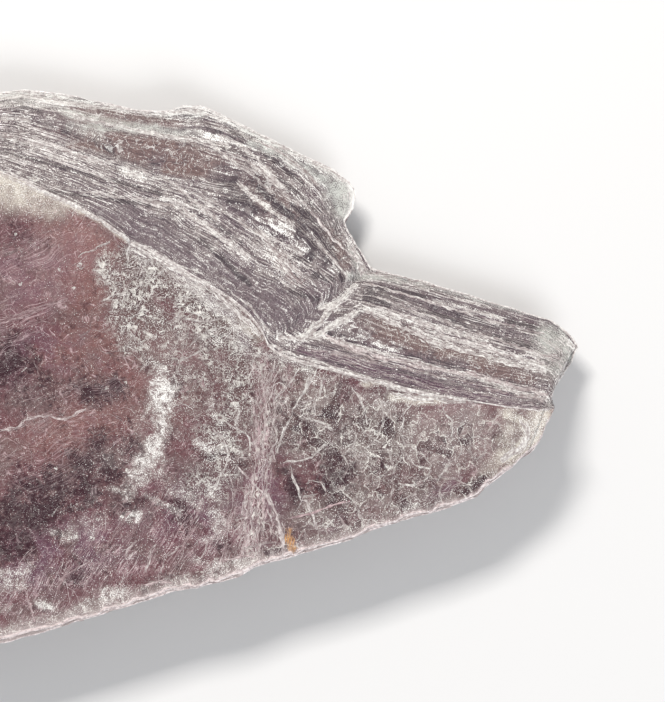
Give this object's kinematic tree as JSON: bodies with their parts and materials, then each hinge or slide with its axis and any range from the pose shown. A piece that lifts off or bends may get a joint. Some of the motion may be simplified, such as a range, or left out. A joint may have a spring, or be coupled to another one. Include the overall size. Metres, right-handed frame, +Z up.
{
  "type": "lepidolite mineral specimen",
  "caption": "Flat book of mauve lepidolite mica lying on its base, with a broad cleavage face, a stepped flank of sheet edges and a pointed end.",
  "frame": {"origin": "middle of the base of the bounding box, on the surface the specimen lies on", "axes": "+X along the specimen towards its pointed end, +Y towards the stepped flank, +Z up out of the broad cleavage face"},
  "size_m": [0.1234, 0.0832, 0.0135],
  "materials": {
    "mica": "pearly mauve-brown cleavage sheets with whitish edges, crackled and slightly translucent"
  },
  "bodies": {
    "root": {"lepidolite_crystal": "mica"}
  },
  "joints": []
}
